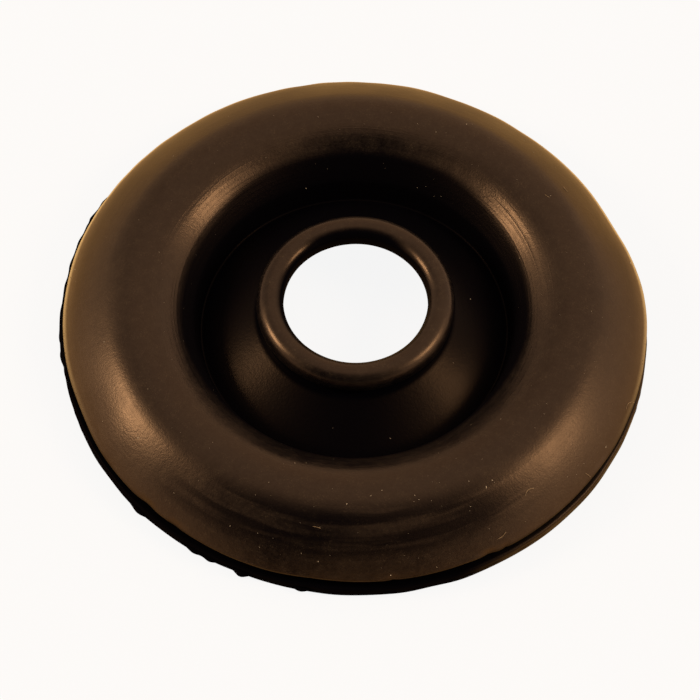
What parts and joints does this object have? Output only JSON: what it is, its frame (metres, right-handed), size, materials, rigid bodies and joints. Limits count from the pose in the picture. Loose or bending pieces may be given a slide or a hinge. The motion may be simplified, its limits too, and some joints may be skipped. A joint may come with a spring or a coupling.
{
  "type": "rubber grommet",
  "caption": "Round moulded rubber grommet with a domed rim, a slot for sheet metal, and a thin cone that ends in a beaded bore for a cable or pipe.",
  "frame": {"origin": "centre of the lip's flat, on the bore's axis, at the height that the grommet rests on", "axes": "+Z along the bore's axis, out of the domed side; the part is a body of revolution, so X and Y are free"},
  "size_m": [0.061, 0.061, 0.0077],
  "materials": {
    "rubber": "satin moulded rubber, black with a brown cast, dusty"
  },
  "bodies": {
    "root": {"grommet": "rubber"}
  },
  "joints": []
}
